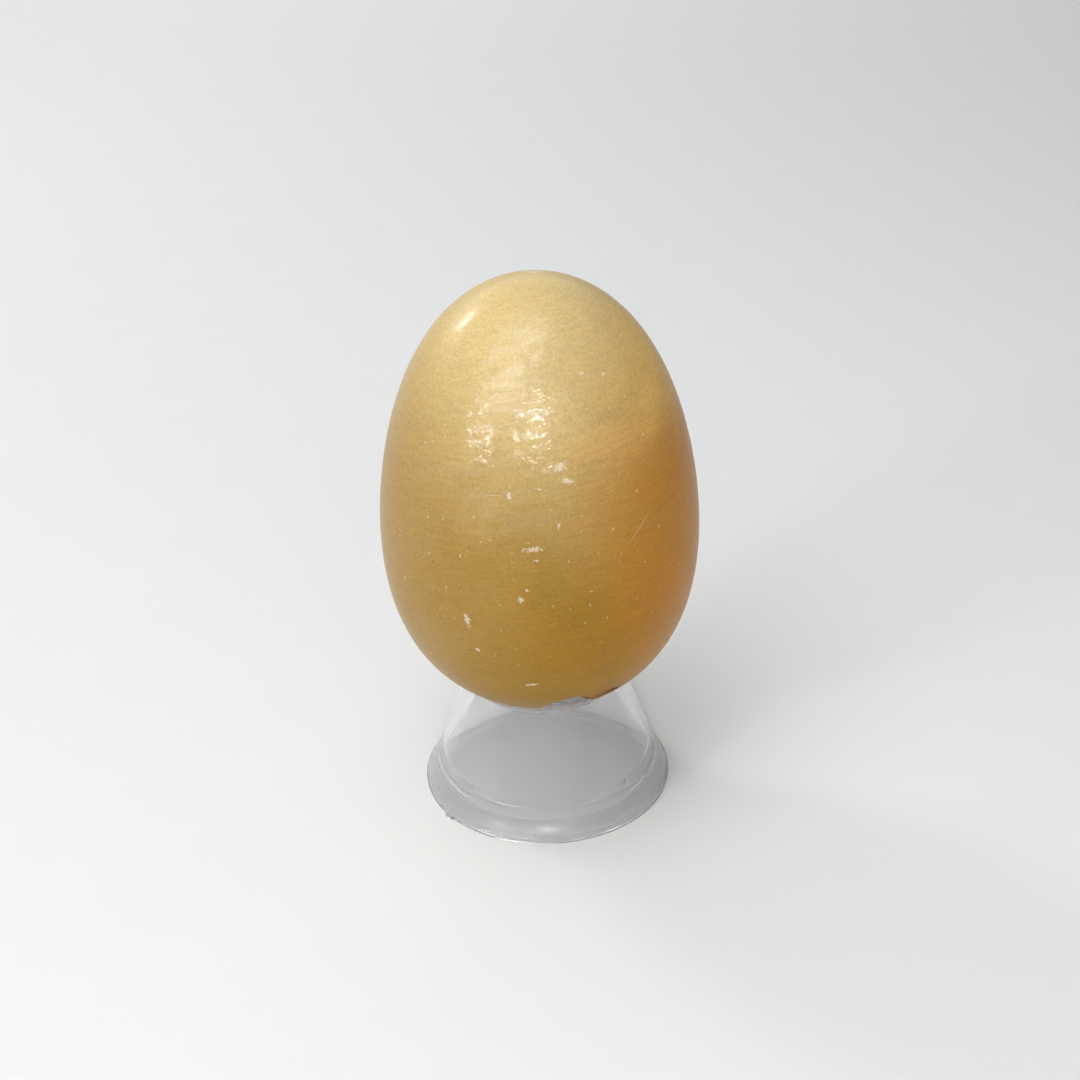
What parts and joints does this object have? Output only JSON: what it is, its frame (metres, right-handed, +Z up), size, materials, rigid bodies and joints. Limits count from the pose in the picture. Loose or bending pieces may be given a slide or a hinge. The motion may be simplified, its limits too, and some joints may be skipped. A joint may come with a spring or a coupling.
{
  "type": "decorative egg on stand",
  "caption": "Polished translucent stone egg resting in a clear plastic hollow cone stand, a display ornament or paperweight that lifts off its dished seat.",
  "frame": {"origin": "centre of the stand's foot, on the surface it stands on", "axes": "+Z up along the common axis of the egg and the stand, -Y towards the viewer of the picture, +X to the viewer's right"},
  "size_m": [0.0497, 0.0496, 0.0875],
  "materials": {
    "honey_stone": "polished translucent honey stone",
    "clear_plastic": "clear glossy moulding"
  },
  "bodies": {
    "stand": {"display_stand": "clear_plastic"},
    "egg": {"stone_egg": "honey_stone"}
  },
  "joints": [
    {"name": "egg_lift", "type": "slide", "parent": "stand", "child": "egg", "axis": [0, 0, 1], "range_m": [0, 0.05]}
  ]
}
